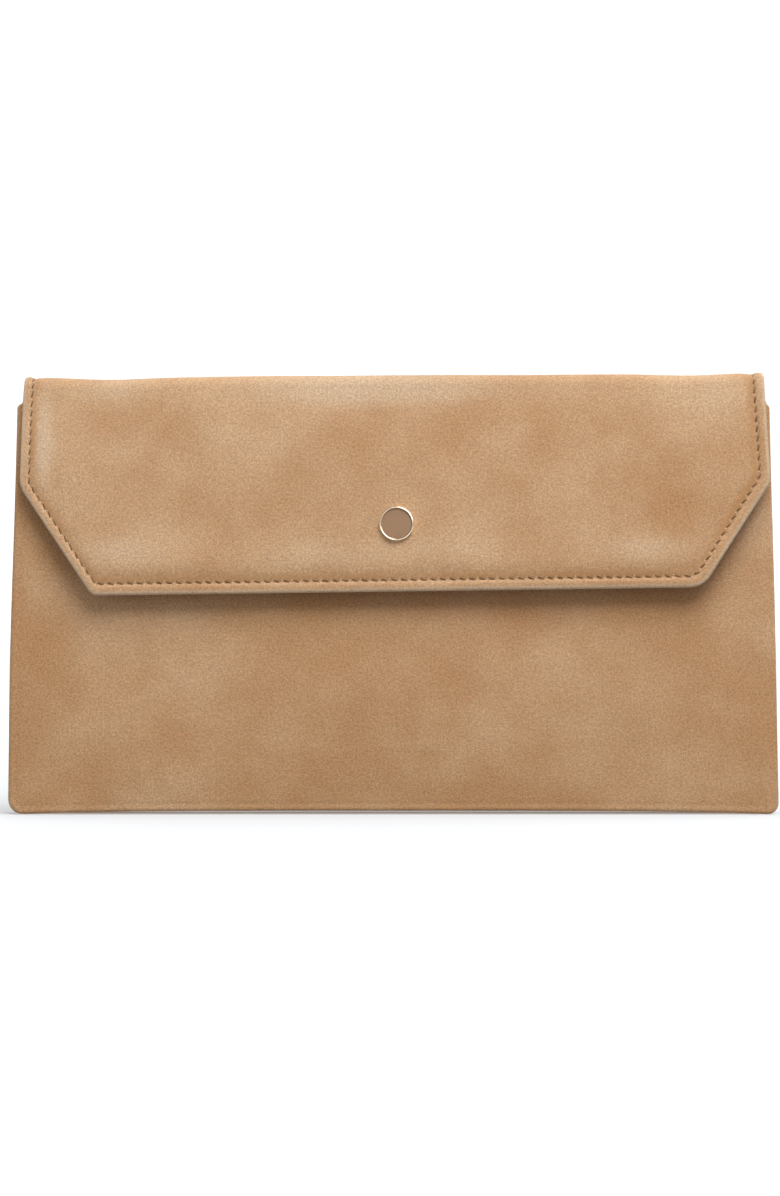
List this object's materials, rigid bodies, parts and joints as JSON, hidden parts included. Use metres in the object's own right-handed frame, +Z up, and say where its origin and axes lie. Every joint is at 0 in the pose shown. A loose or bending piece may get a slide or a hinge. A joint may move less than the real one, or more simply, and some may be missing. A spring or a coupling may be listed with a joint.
{
  "type": "envelope clutch bag",
  "caption": "Flat suede envelope clutch with a stitched fold-over flap with cut corners, one round magnetic snap, folded side gussets and a lined compartment",
  "frame": {"origin": "the middle of the flat underside of the base, on the plane that the clutch stands on", "axes": "X runs along the width, +Y points from the front through to the back, which is flat and upright, +Z is up; the flap and the snap face -Y"},
  "size_m": [0.2906, 0.0235, 0.1663],
  "materials": {
    "suede": "tan suede, matte nap with soft mottling",
    "suede_inside": "tan suede on the inside of the flap and mouth",
    "suede_gusset": "thin tan suede",
    "board": "grey-brown stiffening board",
    "interlining": "soft felt interlining",
    "lining": "plain woven beige lining cloth",
    "thread": "waxed tan thread",
    "gold_metal": "polished light gold",
    "taupe_disc": "satin taupe",
    "steel": "plain plated steel"
  },
  "bodies": {
    "body": {"back_panel": "suede", "back_stiffener": "board", "back_facing": "suede_inside", "back_lining": "lining", "slip_pocket": "lining", "base_panel": "suede", "base_stiffener": "board", "base_lining": "lining", "gusset_right_back": "suede_gusset", "gusset_left_back": "suede_gusset", "gusset_lining_right_back": "lining", "gusset_lining_left_back": "lining"},
    "spine": {"fold_outer": "suede", "fold_interlining": "interlining", "fold_facing": "suede_inside", "fold_stitching": "thread"},
    "flap": {"flap_panel": "suede", "flap_stiffener": "board", "flap_facing": "suede_inside", "flap_stitching": "thread", "snap_cap": "gold_metal", "snap_cap_disc": "taupe_disc", "snap_post": "steel", "snap_male": "gold_metal"},
    "front": {"front_panel": "suede", "front_stiffener": "board", "front_facing": "suede_inside", "front_lining": "lining", "front_hem_stitching": "thread", "gusset_right_front": "suede_gusset", "gusset_left_front": "suede_gusset", "gusset_lining_right_front": "lining", "gusset_lining_left_front": "lining", "snap_socket_case": "gold_metal", "snap_magnet": "steel", "snap_socket_rivet": "gold_metal", "snap_socket_washer": "steel"}
  },
  "joints": [
    {"name": "flap_open", "type": "hinge", "parent": "spine", "child": "flap", "pos_m": [0, -0.00508, 0.16469], "axis": [-1, 0, 0], "range_deg": [0, 90]},
    {"name": "fold_open", "type": "hinge", "parent": "body", "child": "spine", "pos_m": [0, 0.00854, 0.16454], "axis": [-1, 0, 0], "range_deg": [0, 90]},
    {"name": "mouth_open", "type": "hinge", "parent": "body", "child": "front", "pos_m": [0, -0.01, 0], "axis": [1, 0, 0], "range_deg": [0, 6.75]}
  ],
  "couplings": [
    {"joint": "fold_open", "follows": "flap_open", "ratio": 1},
    {"joint": "mouth_open", "follows": "flap_open", "ratio": 0.075}
  ]
}
